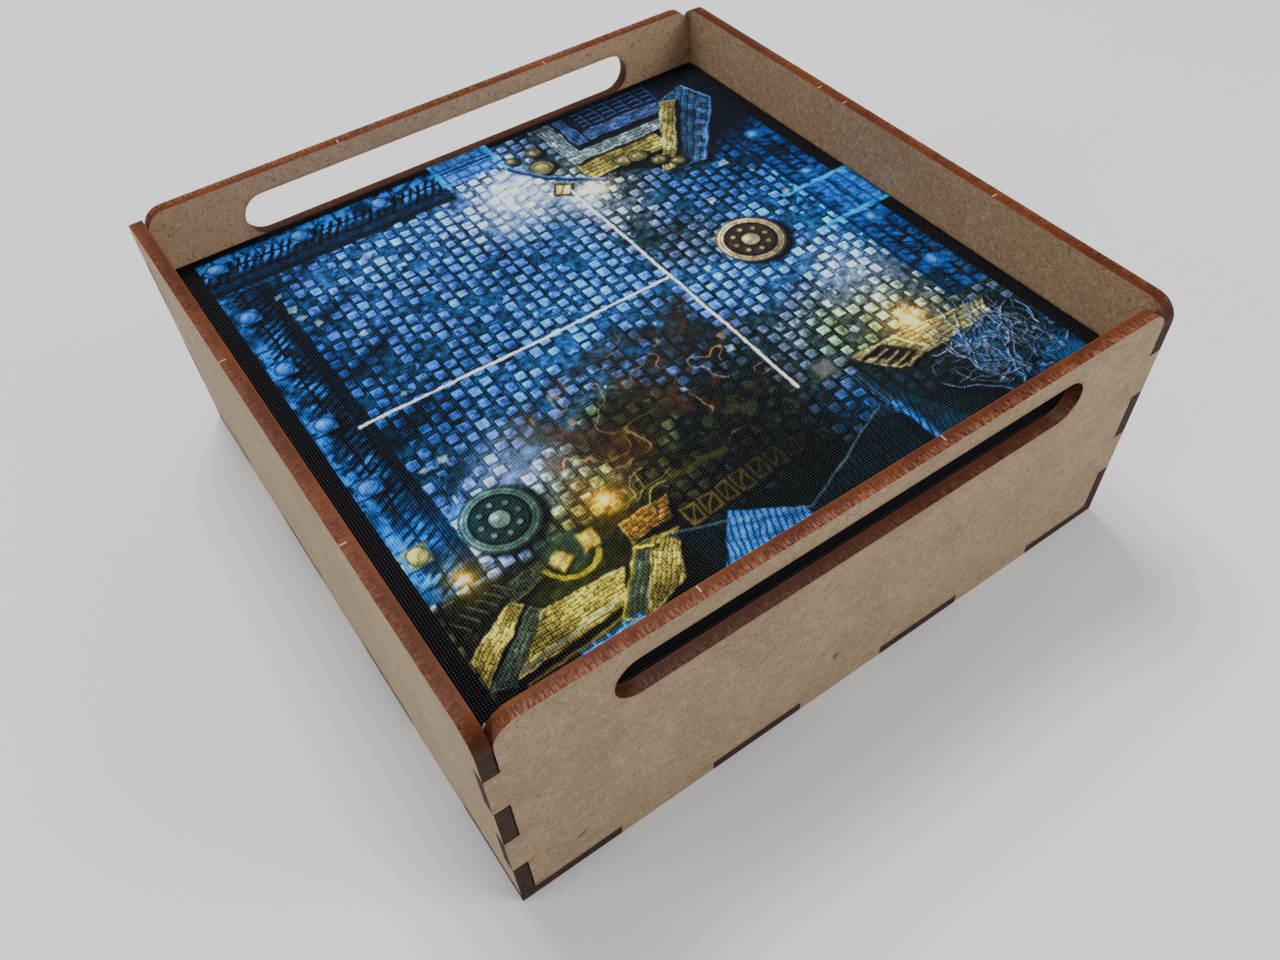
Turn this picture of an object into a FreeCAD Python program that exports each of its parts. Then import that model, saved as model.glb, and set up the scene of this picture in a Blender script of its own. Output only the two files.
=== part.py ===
import FreeCAD, Part
import os

# Square tabletop tray: a finger-jointed box of laser-cut MDF with a long hand slot in the front
# and back walls. A printed cloth mat lies on a loose false floor, a little below the rim, and the
# space under the false floor is storage.
#
# Frame: origin at the centre of the underside, +X to the right along the front wall, +Y to the
# back, +Z up. Millimetres. The front and back walls stand across Y, the left and right across X.

os.makedirs("parts", exist_ok=True)

# ---- driving dimensions -------------------------------------------------------------------
SHEET = 3.0             # thickness of every MDF panel
INSIDE = 152.4          # clear width inside the walls, both ways
HEIGHT = 64.0           # overall height
KERF = 0.16             # width of the laser's cut, which stays open as a gap in every seam
WALL_SEGMENTS = 5       # finger segments up each corner, above the bottom panel
BOTTOM_SEGMENTS = 7     # finger segments along each bottom edge
CORNER_RADIUS = 5.0     # rounded top corners of all four walls

SLOT_LENGTH = 109.4     # hand slot, end to end over its round ends
SLOT_HEIGHT = 10.7
SLOT_LOWER_EDGE = 48.4  # height of the slot's lower edge above the table

SUPPORT_HEIGHT = 41.0   # strips that stand on the bottom panel and carry the false floor
SUPPORT_GAP = 0.2       # play between a strip and its neighbours
FLOOR_GAP = 0.3         # play between the false floor and each wall
FINGER_HOLE = 25.0      # diameter of the lifting hole in the false floor

RUBBER_THICKNESS = 1.8  # foam rubber backing of the mat
CLOTH_THICKNESS = 0.4   # woven face of the mat
MAT_GAP = 0.3           # play between the mat and each wall
MAT_CORNER = 1.0        # corner radius of the mat

# ---- derived dimensions -------------------------------------------------------------------
OUTSIDE = INSIDE + 2 * SHEET
HALF_IN = INSIDE / 2
HALF_OUT = OUTSIDE / 2
SEGMENT_Z = (HEIGHT - SHEET) / WALL_SEGMENTS
SEGMENT_X = OUTSIDE / BOTTOM_SEGMENTS
FLOOR_Z = SHEET + SUPPORT_HEIGHT
RUBBER_Z = FLOOR_Z + SHEET
CLOTH_Z = RUBBER_Z + RUBBER_THICKNESS


def vec(x, y, z):
    return FreeCAD.Vector(x, y, z)


def block(low, high):
    """Box between two corners, each given as (x, y, z)."""
    size = [b - a for a, b in zip(low, high)]
    return Part.makeBox(size[0], size[1], size[2], vec(*low))


def fused(solids):
    """One solid from several that touch, with their coplanar faces merged."""
    whole = solids[0].multiFuse(solids[1:]).removeSplitter()
    return whole.Solids[0]


def round_upright_corners(solid, radius):
    """Round every edge that runs the full height along Z."""
    height = solid.BoundBox.ZLength
    edges = [e for e in solid.Edges if abs(e.BoundBox.ZLength - height) < 1e-6]
    return solid.makeFillet(radius, edges).Solids[0]


# ---- walls --------------------------------------------------------------------------------
# A wall is drawn standing across Y: its outer face at y = -HALF_OUT, its inner face one sheet
# behind, centred on x = 0. Segment 1 of the fingers is the lowest.

OUTER_Y = -HALF_OUT
INNER_Y = -HALF_IN


def end_finger(segment, side, root):
    """Finger of one corner segment, from |x| = root out to the full width."""
    low = SHEET + (segment - 1) * SEGMENT_Z
    high = low + SEGMENT_Z
    if segment > 1:
        low += KERF / 2
    if segment < WALL_SEGMENTS:
        high -= KERF / 2
    x = sorted((side * root, side * HALF_OUT))
    return block((x[0], OUTER_Y, low), (x[1], INNER_Y, high))


def bottom_tab(segment):
    """Tab of one bottom segment, down through the bottom panel."""
    left = -HALF_OUT + (segment - 1) * SEGMENT_X + KERF / 2
    right = left + SEGMENT_X - KERF
    return block((left, OUTER_Y, 0), (right, INNER_Y, SHEET))


def round_top_corners(solid):
    """Round the two top corners of a wall."""
    reach = solid.BoundBox.ZMax - CORNER_RADIUS
    edges = []
    for edge in solid.Edges:
        box = edge.BoundBox
        across = abs(box.YLength - SHEET) < 1e-6 and box.XLength < 1e-6 and box.ZLength < 1e-6
        if across and box.ZMax > reach:
            edges.append(edge)
    return solid.makeFillet(CORNER_RADIUS, edges).Solids[0]


def wall(finger_segments, root):
    """Wall whose fingers fill the given corner segments, its body ending at |x| = root."""
    pieces = [block((-root, OUTER_Y, SHEET), (root, INNER_Y, HEIGHT))]
    for side in (-1, 1):
        for segment in finger_segments:
            pieces.append(end_finger(segment, side, root))
    for segment in range(2, BOTTOM_SEGMENTS, 2):
        pieces.append(bottom_tab(segment))
    return round_top_corners(fused(pieces))


def hand_slot():
    """Cutter for the round-ended slot through a wall."""
    radius = SLOT_HEIGHT / 2
    centre_x = SLOT_LENGTH / 2 - radius
    centre_z = SLOT_LOWER_EDGE + radius
    near = OUTER_Y - SHEET
    far = INNER_Y + SHEET
    upper_edge = SLOT_LOWER_EDGE + SLOT_HEIGHT
    cutters = [block((-centre_x, near, SLOT_LOWER_EDGE), (centre_x, far, upper_edge))]
    for side in (-1, 1):
        end_centre = vec(side * centre_x, near, centre_z)
        cutters.append(Part.makeCylinder(radius, far - near, end_centre, vec(0, 1, 0)))
    return fused(cutters)


def end_wall():
    """Front or back wall: fingers in the even segments, body between the side walls."""
    return wall(range(2, WALL_SEGMENTS + 1, 2), HALF_IN - KERF).cut(hand_slot()).Solids[0]


def side_wall():
    """Left or right wall: fingers in the odd segments, so its top corners stand at the outside."""
    return wall(range(1, WALL_SEGMENTS + 1, 2), HALF_IN)


def turned(solid, quarter_turns):
    """Copy turned about the vertical axis, counter-clockwise from above."""
    copy = solid.copy()
    copy.rotate(vec(0, 0, 0), vec(0, 0, 1), 90 * quarter_turns)
    return copy


# ---- bottom, supports and false floor -----------------------------------------------------

def bottom_panel():
    """Panel under the walls, notched where their tabs come through."""
    panel = block((-HALF_OUT, -HALF_OUT, 0), (HALF_OUT, HALF_OUT, SHEET))
    notches = []
    for segment in range(2, BOTTOM_SEGMENTS, 2):
        left = -HALF_OUT + (segment - 1) * SEGMENT_X - KERF / 2
        right = left + SEGMENT_X + KERF
        notch = block((left, -HALF_OUT - SHEET, -SHEET), (right, -HALF_IN, 2 * SHEET))
        for quarter in range(4):
            notches.append(turned(notch, quarter))
    return panel.cut(notches).Solids[0]


def support(half_length):
    """Strip on edge along the inside of the front wall."""
    near = INNER_Y + SUPPORT_GAP
    return block((-half_length, near, SHEET), (half_length, near + SHEET, FLOOR_Z))


def false_floor():
    """Loose panel that lies on the supports, with a finger hole to lift it by."""
    half = HALF_IN - FLOOR_GAP
    panel = block((-half, -half, FLOOR_Z), (half, half, RUBBER_Z))
    hole = Part.makeCylinder(FINGER_HOLE / 2, 3 * SHEET, vec(0, 0, FLOOR_Z - SHEET))
    return panel.cut(hole).Solids[0]


# ---- mat ----------------------------------------------------------------------------------

def mat_layer(low, thickness):
    """One layer of the mat, with lightly rounded corners."""
    half = HALF_IN - MAT_GAP
    return round_upright_corners(block((-half, -half, low), (half, half, low + thickness)), MAT_CORNER)


# ---- the assembly -------------------------------------------------------------------------

LONG_SUPPORT = HALF_IN - SUPPORT_GAP
SHORT_SUPPORT = LONG_SUPPORT - SHEET - SUPPORT_GAP

nodes = {
    "bottom_panel": bottom_panel(),
    "front_wall": end_wall(),
    "back_wall": turned(end_wall(), 2),
    "left_wall": turned(side_wall(), 3),
    "right_wall": turned(side_wall(), 1),
    "front_floor_support": support(LONG_SUPPORT),
    "back_floor_support": turned(support(LONG_SUPPORT), 2),
    "left_floor_support": turned(support(SHORT_SUPPORT), 3),
    "right_floor_support": turned(support(SHORT_SUPPORT), 1),
    "false_floor": false_floor(),
    "mat_rubber_base": mat_layer(RUBBER_Z, RUBBER_THICKNESS),
    "mat_cloth_face": mat_layer(CLOTH_Z, CLOTH_THICKNESS),
}

for name, shape in nodes.items():
    box = shape.BoundBox
    low = (round(box.XMin, 3), round(box.YMin, 3), round(box.ZMin, 3))
    high = (round(box.XMax, 3), round(box.YMax, 3), round(box.ZMax, 3))
    print(name, shape.ShapeType, "valid", shape.isValid(), "volume", round(shape.Volume, 1), low, high)
    shape.exportStep("parts/" + name + ".step")
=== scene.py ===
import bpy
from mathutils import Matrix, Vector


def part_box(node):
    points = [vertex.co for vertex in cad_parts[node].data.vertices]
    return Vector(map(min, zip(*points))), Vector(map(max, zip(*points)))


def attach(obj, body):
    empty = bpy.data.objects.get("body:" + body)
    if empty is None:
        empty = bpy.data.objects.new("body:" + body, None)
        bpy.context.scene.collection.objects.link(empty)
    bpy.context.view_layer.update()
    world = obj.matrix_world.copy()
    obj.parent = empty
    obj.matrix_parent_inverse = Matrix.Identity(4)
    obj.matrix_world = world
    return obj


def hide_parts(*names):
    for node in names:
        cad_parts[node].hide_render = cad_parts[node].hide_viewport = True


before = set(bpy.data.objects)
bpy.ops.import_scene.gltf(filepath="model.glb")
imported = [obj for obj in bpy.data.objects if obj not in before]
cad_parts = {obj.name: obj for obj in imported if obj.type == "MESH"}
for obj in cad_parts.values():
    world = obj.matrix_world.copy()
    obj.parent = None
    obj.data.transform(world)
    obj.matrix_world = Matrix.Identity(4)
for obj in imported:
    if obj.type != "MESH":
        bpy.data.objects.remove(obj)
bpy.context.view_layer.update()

import copy
import math
import random

import bpy
import numpy as np
from mathutils import Matrix, Vector

# Dice tray: a laser-cut MDF box whose recess holds a printed cloth mat on a loose false floor.
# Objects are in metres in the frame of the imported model: origin at the centre of the underside, +X
# to the right along the front wall, +Y to the back, +Z up. Sizes are written in millimetres.

MM = 0.001


# ---- sizes read from the frame

def box_mm(node):
    """(lowest corner, highest corner) of a CAD node, in millimetres."""
    low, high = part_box(node)
    return low / MM, high / MM


wall_low, wall_high = box_mm("front_wall")
SHEET = wall_high.y - wall_low.y
HALF_OUT = wall_high.x
HALF_IN = HALF_OUT - SHEET
RIM = wall_high.z
rubber_low = box_mm("mat_rubber_base")[0]
cloth_low, cloth_high = box_mm("mat_cloth_face")
MAT_HALF = cloth_high.x
MAT_TOP = cloth_high.z


# ---- camera
# Low over the near left corner, a little rolled, with the far corner at the top of the frame.

EYE = Vector((-95.2, -153.9, 205.5)) * MM
AIM = Vector((-24.2, -42.4, 49.2)) * MM
ROLL = math.radians(-3.36)
LENS = 30.29


def place_camera():
    data = bpy.data.cameras.new("camera")
    data.lens = LENS
    data.sensor_width = 36.0
    data.clip_start = 0.005
    data.dof.use_dof = False
    camera = bpy.data.objects.new("camera", data)
    bpy.context.scene.collection.objects.link(camera)
    facing = (AIM - EYE).to_track_quat("-Z", "Y").to_matrix().to_4x4()
    camera.matrix_world = Matrix.Translation(EYE) @ facing @ Matrix.Rotation(ROLL, 4, "Z")
    bpy.context.scene.camera = camera


place_camera()


# ---- shader arithmetic

def srgb(red, green, blue):
    """Linear colour from a display colour of 0 to 255."""
    linear = []
    for value in (red / 255, green / 255, blue / 255):
        linear.append(value / 12.92 if value <= 0.04045 else ((value + 0.055) / 1.055) ** 2.4)
    return tuple(linear)


def arithmetic(operation):
    return lambda value, other: value.math(operation, other)


def feed(tree, target, source):
    """Give a node's input a number, a colour or a link."""
    if isinstance(source, Value):
        source = source.socket
    if isinstance(source, bpy.types.NodeSocket):
        tree.links.new(source, target)
    elif isinstance(source, tuple):
        target.default_value = (*source, 1.0)
    else:
        target.default_value = source


class Value:
    """A number in a material's node tree. Arithmetic on it adds the nodes."""

    __add__ = arithmetic("ADD")
    __sub__ = arithmetic("SUBTRACT")
    __mul__ = arithmetic("MULTIPLY")
    __truediv__ = arithmetic("DIVIDE")

    def __init__(self, tree, socket):
        self.tree = tree
        self.socket = socket

    def math(self, operation, *others, clamp=False):
        node = self.tree.nodes.new("ShaderNodeMath")
        node.operation = operation
        node.use_clamp = clamp
        for target, source in zip(node.inputs, (self, *others)):
            feed(self.tree, target, source)
        return Value(self.tree, node.outputs[0])

    def __abs__(self):
        return self.math("ABSOLUTE")

    def flipped(self):
        return (self * -1.0) + 1.0

    def rise(self, low, high):
        """0 below low, 1 above high, smooth between. A falling step has low above high."""
        if low > high:
            return self.rise(high, low).flipped()
        node = self.tree.nodes.new("ShaderNodeMapRange")
        node.interpolation_type = "SMOOTHSTEP"
        self.tree.links.new(self.socket, node.inputs["Value"])
        node.inputs["From Min"].default_value = low
        node.inputs["From Max"].default_value = high
        return Value(self.tree, node.outputs["Result"])


class Finish:
    """A material with one Principled shader, and the nodes that its pattern is made of."""

    def __init__(self, name):
        self.material = bpy.data.materials.new(name)
        self.material.use_nodes = True
        self.tree = self.material.node_tree
        self.shader = self.tree.nodes["Principled BSDF"]
        coords = self.tree.nodes.new("ShaderNodeTexCoord")
        scale = self.tree.nodes.new("ShaderNodeVectorMath")
        scale.operation = "SCALE"
        scale.inputs["Scale"].default_value = 1 / MM
        self.tree.links.new(coords.outputs["Object"], scale.inputs[0])
        self.place = scale.outputs[0]
        self.normal = coords.outputs["Normal"]

    def parts(self, vector):
        """x, y and z of a vector."""
        node = self.tree.nodes.new("ShaderNodeSeparateXYZ")
        self.tree.links.new(vector, node.inputs[0])
        return [Value(self.tree, out) for out in node.outputs]

    def stretched(self, scale, turn=(0, 0, 0), shift=(0, 0, 0)):
        """The place in millimetres, turned, then scaled: a large scale makes a fine pattern."""
        spin = self.tree.nodes.new("ShaderNodeMapping")
        spin.inputs["Rotation"].default_value = [math.radians(angle) for angle in turn]
        self.tree.links.new(self.place, spin.inputs["Vector"])
        size = self.tree.nodes.new("ShaderNodeMapping")
        size.inputs["Scale"].default_value = scale
        size.inputs["Location"].default_value = shift
        self.tree.links.new(spin.outputs[0], size.inputs["Vector"])
        return size.outputs[0]

    def noise(self, scale=1.0, detail=2.0, roughness=0.5, vector=None):
        node = self.tree.nodes.new("ShaderNodeTexNoise")
        node.inputs["Scale"].default_value = scale
        node.inputs["Detail"].default_value = detail
        node.inputs["Roughness"].default_value = roughness
        self.tree.links.new(vector or self.place, node.inputs["Vector"])
        return Value(self.tree, node.outputs[0])

    def mix(self, factor, below, above, blend="MIX"):
        """Colour that goes from below to above as factor goes from 0 to 1."""
        node = self.tree.nodes.new("ShaderNodeMix")
        node.data_type = "RGBA"
        node.blend_type = blend
        for index, source in ((0, factor), (6, below), (7, above)):
            feed(self.tree, node.inputs[index], source)
        return node.outputs[2]

    def colour(self, socket):
        self.tree.links.new(socket, self.shader.inputs["Base Color"])

    def roughness(self, value):
        self.tree.links.new(value.socket, self.shader.inputs["Roughness"])

    def bump(self, height, depth):
        """Relief of height times depth millimetres."""
        node = self.tree.nodes.new("ShaderNodeBump")
        node.inputs["Distance"].default_value = depth * MM
        self.tree.links.new(height.socket, node.inputs["Height"])
        self.tree.links.new(node.outputs[0], self.shader.inputs["Normal"])


def grainy(name, noise, dark, light, relief):
    """A dull material mottled between two colours."""
    f = Finish(name)
    grain = f.noise(*noise)
    f.colour(f.mix(grain, dark, light))
    f.bump(grain, relief)
    f.shader.inputs["Roughness"].default_value = 0.85
    return f.material


# ---- MDF
# Bare board faces with fibre flecks and smoke stains, and laser-cut edges that are reddish brown
# and striped across the sheet.

FINGER = 12.2    # height of one finger of the corner joints, from the top of the bottom panel
CORNER_RADIUS = 5.0
SLOT_LENGTH = 109.4
SLOT_HEIGHT = 10.7
SLOT_MIDDLE = 53.75
SLOT_STRAIGHT = (SLOT_LENGTH - SLOT_HEIGHT) / 2

FLECK_DARK = srgb(92, 72, 50)
FLECK_LIGHT = srgb(206, 186, 156)
SCORCH = srgb(134, 98, 56)
CUT_BROWN = srgb(88, 41, 19)
CUT_ORANGE = srgb(122, 64, 27)
# dark brown of burnt fibres, also laid as painted shade on the rims' rounded corners
CUT_BURNT_AND_SHADE = srgb(52, 24, 13)
CUT_PALE = srgb(160, 112, 88)
# own darker brown of the hand slots' cut faces, deepened as painted shade
SLOT_BROWN_AND_SHADE = srgb(42, 19, 10)
SOOT = srgb(72, 57, 50)
SOOT_DARK = srgb(48, 36, 32)
KERF = srgb(20, 13, 11)


class Board:
    """Where a point of a panel is: on a face or a cut edge, and how far from each cut."""

    def __init__(self, f, axis, upright):
        self.x, self.y, self.z = f.parts(f.place)
        normals = f.parts(f.normal)
        self.across = (self.x, self.y, self.z)[axis]
        self.face = abs(normals[axis]).rise(0.4, 0.6)
        self.inner = (self.across * normals[axis]).rise(0.5, -0.5)
        self.along = (self.y, self.x, self.x)[axis]
        self.upright = upright
        # 0 at the inner face of a wall, 1 at its outer face
        self.depth = (abs(self.across) - HALF_IN) / SHEET
        self.end_gap = abs(abs(self.along) - HALF_IN)
        step = ((self.z - SHEET) / FINGER).math("FRACT")
        self.finger_gap = abs(abs(step - 0.5) - 0.5) * FINGER
        reach = abs(self.along) if upright else abs(self.x).math("MAXIMUM", abs(self.y))
        below_rounding = self.z.rise(RIM - CORNER_RADIUS + 0.1, RIM - CORNER_RADIUS - 0.1)
        self.end = reach.rise(HALF_OUT - 0.3, HALF_OUT - 0.1) * below_rounding
        past = (abs(self.along) - SLOT_STRAIGHT).math("MAXIMUM", 0.0)
        away = ((past * past) + ((self.z - SLOT_MIDDLE) * (self.z - SLOT_MIDDLE))).math("SQRT")
        self.slot_gap = abs(away - SLOT_HEIGHT / 2)


def board_face(f, board, axis, seed, outside, inside, has_slot):
    """Colour and relief of the broad faces."""
    blotches = f.noise(0.06, 3.0, 0.55)
    mottle = f.noise(0.5, 4.0, 0.65)
    grain = f.noise(2.4, 3.0, 0.7)
    colour = f.mix(board.inner, outside, inside)
    colour = f.mix(blotches.rise(0.38, 0.68) * 0.2, colour, FLECK_DARK)
    colour = f.mix(mottle.rise(0.5, 0.7) * 0.22, colour, FLECK_LIGHT)
    colour = f.mix(mottle.rise(0.48, 0.3) * 0.2, colour, FLECK_DARK)
    colour = f.mix(grain.rise(0.5, 0.75) * 0.17, colour, FLECK_DARK)
    colour = f.mix(grain.rise(0.5, 0.28) * 0.16, colour, FLECK_LIGHT)
    relief = grain * 0.6
    for index in range(6):
        turn = [0.0, 0.0, 0.0]
        turn[axis] = 11.0 + 31.0 * index
        scale = [0.62, 0.62, 0.62]
        scale[(axis + 1) % 3] = 3.6
        shift = (seed + 5.0 * index, 7.0 * index, seed)
        strokes = f.noise(1.0, 0.0, 0.5, f.stretched(scale, turn, shift))
        light = index % 2 == 0
        tone, amount = (FLECK_LIGHT, 0.42) if light else (FLECK_DARK, 0.6)
        mark = strokes.rise(0.72, 0.77)
        colour = f.mix(mark * amount, colour, tone)
        relief = relief + mark * (0.4 if light else -0.4)
    if board.upright:
        smoke = f.noise(0.35).rise(0.35, 0.65)
        near_joint = board.end_gap.rise(3.4, 0.2) * board.finger_gap.rise(2.2, 0.2)
        near_tabs = board.z.rise(4.8, 3.0) * board.z.rise(SHEET - 0.2, SHEET) * smoke
        scorch = (near_joint * 0.75 + near_tabs * 0.35) * smoke
        if has_slot:
            scorch = scorch + board.slot_gap.rise(1.6, 0.1) * 0.28
        colour = f.mix(scorch.math("MINIMUM", 0.8), colour, SCORCH)
        chips = f.noise(1.4, 1.0).rise(0.6, 0.66) * board.z.rise(RIM - 0.3, RIM - 0.1)
        colour = f.mix(chips * 0.7, colour, FLECK_LIGHT)
    return colour, relief


def old_marks(f, board, colour):
    """A short scratch and a small pit in the lower part of the front wall's outer face."""
    outer = board.inner.flipped() * board.face
    for place, lean, size in (((-65.0, 11.4), 0.38, (2.1, 0.4)), ((-3.0, 13.6), 0.6, (1.2, 0.75))):
        right, up = board.x - place[0], board.z - place[1]
        along = (right * math.cos(lean) + up * math.sin(lean)) / size[0]
        across = (up * math.cos(lean) - right * math.sin(lean)) / size[1]
        away = ((along * along) + (across * across)).math("SQRT")
        mark = (away + f.noise(2.0, 1.0) * 0.8).rise(1.3, 0.9) * outer
        colour = f.mix(mark * 0.8, colour, CUT_BURNT_AND_SHADE)
    return colour


def cut_edge(f, board, axis, seed, has_slot):
    """Colour and relief of the edges that the laser cut."""
    scale = [3.6, 3.6, 3.6]
    scale[axis] = 0.7
    comb = f.noise(1.0, 3.0, 0.65, f.stretched(scale, shift=(seed, 0, 0)))
    fuzz = f.noise(1.9, 3.0, 0.65)
    drift = f.noise(0.07)
    colour = f.mix(drift.rise(0.35, 0.65) * (0.6 if axis == 1 else 0.9), CUT_BROWN, CUT_ORANGE)
    # below the rim of the slotted walls: the hand slots' own darker brown, with painted shade inside
    # them
    hole = board.z.rise(RIM - 4.6, RIM - 4.9) * (1.0 if has_slot else 0.0)
    colour = f.mix(hole * 0.8, colour, SLOT_BROWN_AND_SHADE)
    colour = f.mix(fuzz.rise(0.46, 0.66) * 0.35, colour, CUT_BURNT_AND_SHADE)
    colour = f.mix(comb.rise(0.48, 0.66) * 0.35, colour, CUT_BURNT_AND_SHADE)
    if board.upright:
        middle = abs(board.depth - 0.5).rise(0.3, 0.1) * fuzz.rise(0.3, 0.6)
        colour = f.mix(middle * 0.35, colour, CUT_BURNT_AND_SHADE)
        on_rim = hole * -0.7 + 1.0
        teeth = comb.rise(0.56, 0.34) * board.depth.rise(0.1, 0.9) * on_rim
        colour = f.mix(teeth * (0.7 if axis == 1 else 0.35), colour, CUT_PALE)
        colour = f.mix(board.depth.rise(0.14, 0.04) * on_rim * 0.4, colour, CUT_ORANGE)
        # painted shade: darker down the curved corners of the rims, where they turn away from the light;
        # the side walls' cut edges are darker all over
        rounding_shade = board.z.rise(RIM - 0.2, RIM - 2.2) * board.z.rise(RIM - 6.0, RIM - 5.5)
        darker = (rounding_shade * 0.5 + 0.22) if axis == 0 else rounding_shade * 0.3
        colour = f.mix(darker, colour, CUT_BURNT_AND_SHADE)
    colour = f.mix(board.end, colour, f.mix(fuzz.rise(0.35, 0.7), SOOT, SOOT_DARK))
    return colour, comb + fuzz * 0.5


def mdf(name, axis, seed, outside, inside, upright, has_slot):
    """Material of a panel whose broad faces look along one axis: 0, 1 or 2."""
    f = Finish(name)
    board = Board(f, axis, upright)
    face_colour, face_relief = board_face(f, board, axis, seed, outside, inside, has_slot)
    edge_colour, edge_relief = cut_edge(f, board, axis, seed, has_slot)
    if name == "mdf_front_wall":
        face_colour = old_marks(f, board, face_colour)
    colour = f.mix(board.face, edge_colour, face_colour)
    if upright:
        seam = board.depth.rise(0.12, 0.03) + board.finger_gap.rise(0.32, 0.1)
        on_end = board.end * board.face.flipped()
        over_end = abs(board.along).rise(HALF_IN - 0.2, HALF_IN)
        jamb = board.finger_gap.rise(0.28, 0.1) * over_end * board.face
        colour = f.mix((seam * on_end + jamb).math("MINIMUM", 1.0) * 0.8, colour, KERF)
    f.colour(colour)
    dull = (board.face * 0.3 + board.end * 0.4).math("MINIMUM", 0.4)
    f.roughness(dull + (f.noise(1.5) * 0.24 + 0.36))
    f.bump(face_relief * board.face + edge_relief * board.face.flipped(), 0.05)
    f.shader.inputs["Specular IOR Level"].default_value = 0.1
    return f.material


# panel: axis it faces along, colour of its outer or upper face, colour of the other, hand slot
BOARD_FRONT = srgb(158, 136, 109)
BOARD_SIDE = srgb(158, 138, 112)
BOARD_BROWN = srgb(176, 144, 114)
# lighter copy of the inner brown: painted light on the back wall's inner face
BOARD_LIT = srgb(188, 154, 123)
# darker copy of the inner brown: painted shade on the right wall's inner face, in the recess
BOARD_SHADED = srgb(152, 124, 96)
PANELS = {
    "front_wall": (1, BOARD_FRONT, BOARD_BROWN, True),
    "back_wall": (1, BOARD_FRONT, BOARD_LIT, True),
    "left_wall": (0, BOARD_SIDE, BOARD_BROWN, False),
    "right_wall": (0, BOARD_SIDE, BOARD_SHADED, False),
    "bottom_panel": (2, BOARD_BROWN, BOARD_FRONT, False),
    "false_floor": (2, BOARD_FRONT, BOARD_BROWN, False),
    "front_floor_support": (1, BOARD_BROWN, BOARD_BROWN, False),
    "back_floor_support": (1, BOARD_BROWN, BOARD_BROWN, False),
    "left_floor_support": (0, BOARD_BROWN, BOARD_BROWN, False),
    "right_floor_support": (0, BOARD_BROWN, BOARD_BROWN, False),
}

for number, (node, (axis, outside, inside, has_slot)) in enumerate(PANELS.items()):
    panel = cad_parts[node]
    upright = node.endswith("_wall")
    material = mdf("mdf_" + node, axis, 3.0 * number, outside, inside, upright, has_slot)
    if not panel.material_slots:
        panel.data.materials.append(material)
    for material_slot in panel.material_slots:
        material_slot.material = material


# ---- picture printed on the cloth
# A night-time town square seen from above, of no particular place: cobbles with a painted T
# between railings, lamp-lit walls along the front and a house in the far right corner.
# Places are in millimetres on the mat, colours in display values of 0 to 255. Noise takes the size
# of its cells and a seed, which is only there to be different from the others.

PRINT_LEFT, PRINT_RIGHT = -70.3, 71.7
PRINT_FRONT, PRINT_BACK = -68.9, 73.1
COLUMN = 3.28    # from one column of cobbles to the next
ROW = 3.55
COLD_STONE = (1.17, 0.98, 1.05)    # tints of the stones in blue light and in lamp light
WARM_STONE = (1.02, 1.02, 0.88)
WAVER = 1.1    # how far hand-drawn lines stray
TONE_REACH = 9
SATURATION = 0.3
CONTRAST = 0.25


def lattice(column, row, seed):
    """A random value from 0 to 1 for each whole cell."""
    mixed = (column * 374761393 + row * 668265263 + seed * 974634777) & 0xFFFFFFFF
    mixed = ((mixed ^ (mixed >> 13)) * 1274126177) & 0xFFFFFFFF
    return ((mixed ^ (mixed >> 16)) & 0xFFFF) / 65535


def value_noise(x, y, cell, seed):
    u, v = x / cell, y / cell
    column, row = np.floor(u).astype(np.int64), np.floor(v).astype(np.int64)
    u, v = u - column, v - row
    u, v = u * u * (3 - 2 * u), v * v * (3 - 2 * v)
    near = lattice(column, row, seed) * (1 - u) + lattice(column + 1, row, seed) * u
    far = lattice(column, row + 1, seed) * (1 - u) + lattice(column + 1, row + 1, seed) * u
    return near * (1 - v) + far * v


def cloudy(x, y, cell, seed, octaves=4):
    """Noise of several sizes, from about 0 to 1."""
    total, weight, amount = 0, 0, 1
    for octave in range(octaves):
        total = total + value_noise(x, y, cell / 2 ** octave, seed + octave) * amount
        weight += amount
        amount *= 0.6
    return total / weight


def ramp(low, high, value):
    """0 at low, 1 at high, smooth between. Low may be above high."""
    t = np.clip((value - low) / (high - low), 0, 1)
    return t * t * (3 - 2 * t)


def beside(place, right, up):
    return (place[0] + right, place[1] + up)


def moved(points, right, up):
    return [beside(point, right, up) for point in points]


def rect(left, right, front, back):
    return [(left, front), (right, front), (right, back), (left, back)]


def polygon(place, turn, reaches, squash=1):
    """Corners at even angles round a place, each at its own reach."""
    corners = []
    for step, reach in enumerate(reaches):
        angle = turn + math.tau * step / len(reaches)
        corners.append(beside(place, reach * math.cos(angle), squash * reach * math.sin(angle)))
    return corners


def off_middle(value):
    """0 halfway between whole numbers, 1 at them."""
    return np.abs(value - np.floor(value) - 0.5) * 2


def scaled(colour, factor, lift=0):
    return tuple(min(255, lift + value * factor) for value in colour)


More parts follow.
